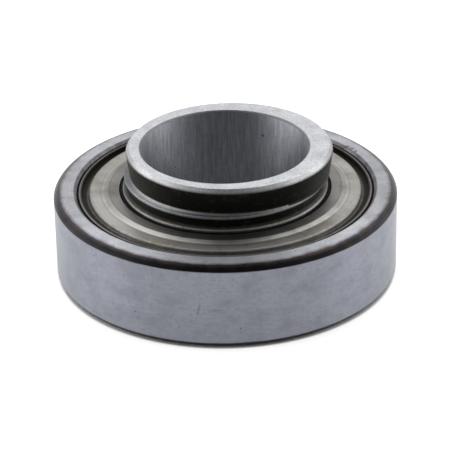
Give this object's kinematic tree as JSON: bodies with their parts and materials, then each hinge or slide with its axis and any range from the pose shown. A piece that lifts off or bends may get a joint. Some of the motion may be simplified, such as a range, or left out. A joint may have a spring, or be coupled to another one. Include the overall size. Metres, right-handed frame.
{
  "type": "insert ball bearing with eccentric cam",
  "caption": "Sealed insert ball bearing: cylindrical outer ring, inner ring extended at one side with an eccentric cam, caged balls and a crimped seal at each face.",
  "frame": {"origin": "on the bore's axis, at the outer ring's bottom face", "axes": "+Z along the bore's axis, towards the inner ring's long end with the cam"},
  "size_m": [0.062, 0.062, 0.0239],
  "materials": {
    "outer_ring_steel": "ground, with dark scaled corners",
    "inner_ring_steel": "ground bore and face, black oxide cam and neck",
    "ball_steel": "lapped and polished",
    "cage_steel": "pressed sheet",
    "seal_steel": "pressed sheet, plated",
    "seal_rubber": "moulded, black"
  },
  "bodies": {
    "outer": {"outer_ring": "outer_ring_steel", "upper_seal_cap": "seal_steel", "upper_seal_lip": "seal_rubber", "upper_seal_washer": "seal_steel", "lower_seal_cap": "seal_steel", "lower_seal_lip": "seal_rubber", "lower_seal_washer": "seal_steel"},
    "inner": {"inner_ring": "inner_ring_steel"},
    "cage": {"cage_upper_half": "cage_steel", "cage_lower_half": "cage_steel", "cage_rivets": "cage_steel"},
    "ball_1": {"ball_1": "ball_steel"},
    "ball_2": {"ball_2": "ball_steel"},
    "ball_3": {"ball_3": "ball_steel"},
    "ball_4": {"ball_4": "ball_steel"},
    "ball_5": {"ball_5": "ball_steel"},
    "ball_6": {"ball_6": "ball_steel"},
    "ball_7": {"ball_7": "ball_steel"},
    "ball_8": {"ball_8": "ball_steel"},
    "ball_9": {"ball_9": "ball_steel"}
  },
  "joints": [
    {"name": "inner_ring_spin", "type": "hinge", "parent": "outer", "child": "inner", "pos_m": [0, 0, 0.008], "axis": [0, 0, 1], "continuous": true},
    {"name": "cage_spin", "type": "hinge", "parent": "outer", "child": "cage", "pos_m": [0, 0, 0.008], "axis": [0, 0, 1], "continuous": true},
    {"name": "ball_1_spin", "type": "hinge", "parent": "cage", "child": "ball_1", "pos_m": [0.023, 0, 0.008], "axis": [0, 0, 1], "continuous": true},
    {"name": "ball_2_spin", "type": "hinge", "parent": "cage", "child": "ball_2", "pos_m": [0.01762, 0.01478, 0.008], "axis": [0, 0, 1], "continuous": true},
    {"name": "ball_3_spin", "type": "hinge", "parent": "cage", "child": "ball_3", "pos_m": [0.00399, 0.02265, 0.008], "axis": [0, 0, 1], "continuous": true},
    {"name": "ball_4_spin", "type": "hinge", "parent": "cage", "child": "ball_4", "pos_m": [-0.0115, 0.01992, 0.008], "axis": [0, 0, 1], "continuous": true},
    {"name": "ball_5_spin", "type": "hinge", "parent": "cage", "child": "ball_5", "pos_m": [-0.02161, 0.00787, 0.008], "axis": [0, 0, 1], "continuous": true},
    {"name": "ball_6_spin", "type": "hinge", "parent": "cage", "child": "ball_6", "pos_m": [-0.02161, -0.00787, 0.008], "axis": [0, 0, 1], "continuous": true},
    {"name": "ball_7_spin", "type": "hinge", "parent": "cage", "child": "ball_7", "pos_m": [-0.0115, -0.01992, 0.008], "axis": [0, 0, 1], "continuous": true},
    {"name": "ball_8_spin", "type": "hinge", "parent": "cage", "child": "ball_8", "pos_m": [0.00399, -0.02265, 0.008], "axis": [0, 0, 1], "continuous": true},
    {"name": "ball_9_spin", "type": "hinge", "parent": "cage", "child": "ball_9", "pos_m": [0.01762, -0.01478, 0.008], "axis": [0, 0, 1], "continuous": true}
  ],
  "couplings": [
    {"joint": "cage_spin", "follows": "inner_ring_spin", "ratio": 0.39582},
    {"joint": "ball_1_spin", "follows": "inner_ring_spin", "ratio": -2.3099},
    {"joint": "ball_2_spin", "follows": "inner_ring_spin", "ratio": -2.3099},
    {"joint": "ball_3_spin", "follows": "inner_ring_spin", "ratio": -2.3099},
    {"joint": "ball_4_spin", "follows": "inner_ring_spin", "ratio": -2.3099},
    {"joint": "ball_5_spin", "follows": "inner_ring_spin", "ratio": -2.3099},
    {"joint": "ball_6_spin", "follows": "inner_ring_spin", "ratio": -2.3099},
    {"joint": "ball_7_spin", "follows": "inner_ring_spin", "ratio": -2.3099},
    {"joint": "ball_8_spin", "follows": "inner_ring_spin", "ratio": -2.3099},
    {"joint": "ball_9_spin", "follows": "inner_ring_spin", "ratio": -2.3099}
  ]
}
